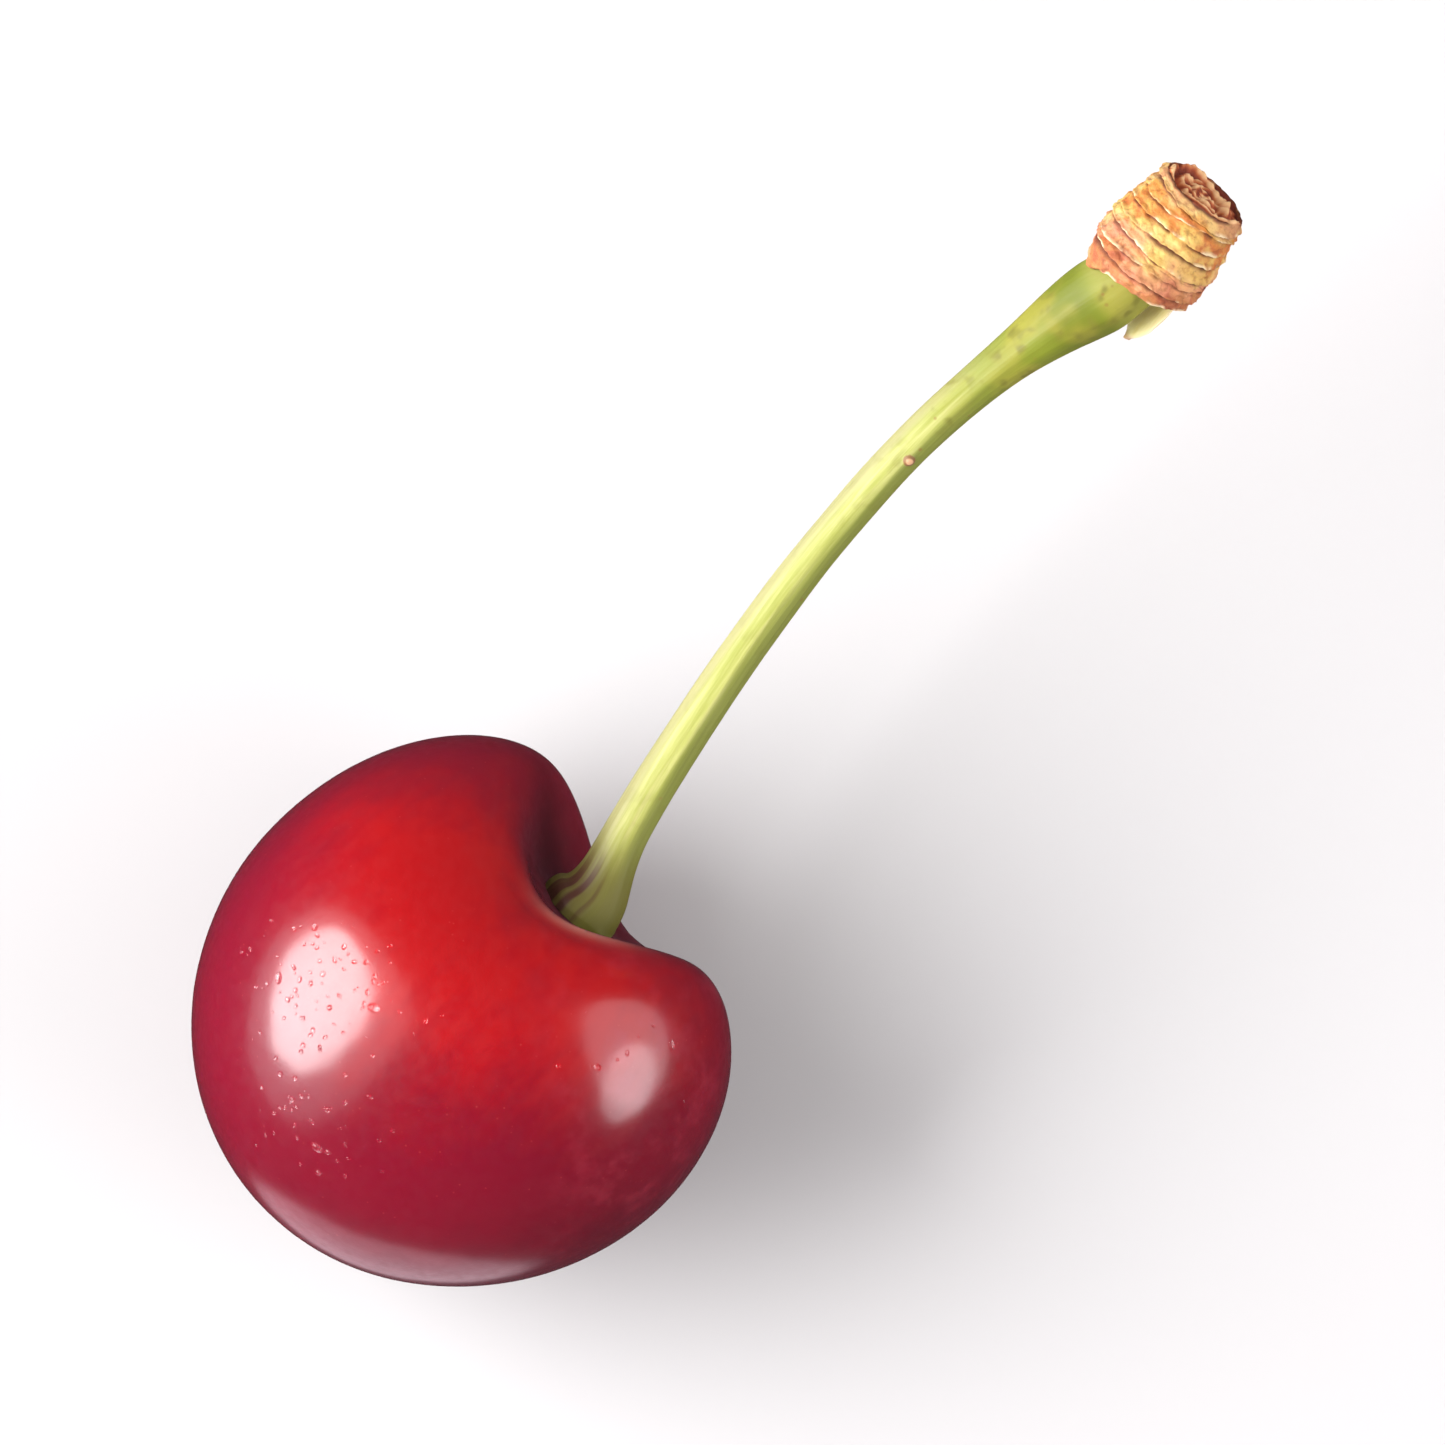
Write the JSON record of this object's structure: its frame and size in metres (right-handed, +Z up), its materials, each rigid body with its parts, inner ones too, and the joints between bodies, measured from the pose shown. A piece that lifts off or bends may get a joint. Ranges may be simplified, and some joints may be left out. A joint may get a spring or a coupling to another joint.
{
  "type": "sweet cherry on its stalk",
  "caption": "Heart-shaped sweet cherry lying on its cheek, with an arched stalk, a ringed woody knob at the stalk's end and a small green bract.",
  "frame": {"origin": "middle of the small flat spot on the fruit's underside that it rests on", "axes": "+X from the fruit's tip towards the knob at the stalk's end, +Y towards the taller of the fruit's two shoulders, +Z up"},
  "size_m": [0.0678, 0.0265, 0.0283],
  "materials": {
    "skin": "glossy thin fruit skin, bright red to dark crimson",
    "stalk": "waxy pale green with fine lengthwise ridges",
    "spur_wood": "dry flaky bark, tan to red-brown, torn at the end",
    "bract": "thin dry pale yellow-green scale"
  },
  "bodies": {
    "root": {"fruit": "skin", "stalk": "stalk", "knob": "spur_wood", "bract": "bract"}
  },
  "joints": []
}
